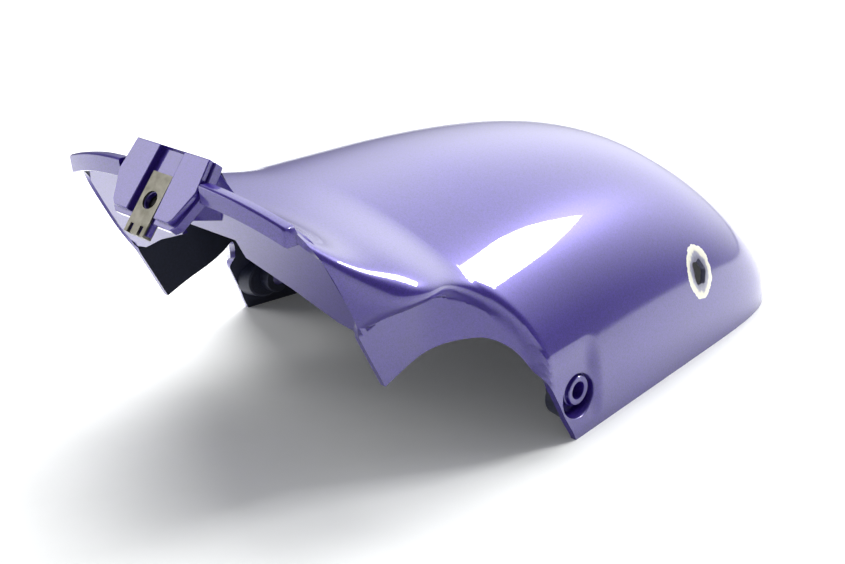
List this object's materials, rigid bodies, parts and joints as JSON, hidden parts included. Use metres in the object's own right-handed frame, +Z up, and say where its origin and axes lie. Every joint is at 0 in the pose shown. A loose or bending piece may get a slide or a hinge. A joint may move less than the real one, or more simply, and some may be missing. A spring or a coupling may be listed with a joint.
{
  "type": "scooter front mudguard",
  "caption": "Front mudguard of a small scooter: a painted one-piece moulding with fork pockets, side bosses and a rear tongue that holds a spring nut. One side is holed.",
  "frame": {"origin": "on the floor under the middle of the bounding box; the mudguard stands on the edge of its rim", "axes": "+X forward to the nose, +Y left as seen by the rider, +Z up"},
  "size_m": [0.3694, 0.217, 0.133],
  "materials": {
    "painted_plastic": "metallic violet-blue paint under clear coat",
    "spring_steel": "zinc phosphate, olive grey"
  },
  "bodies": {
    "root": {"mudguard": "painted_plastic", "clip_nut": "spring_steel"}
  },
  "joints": []
}
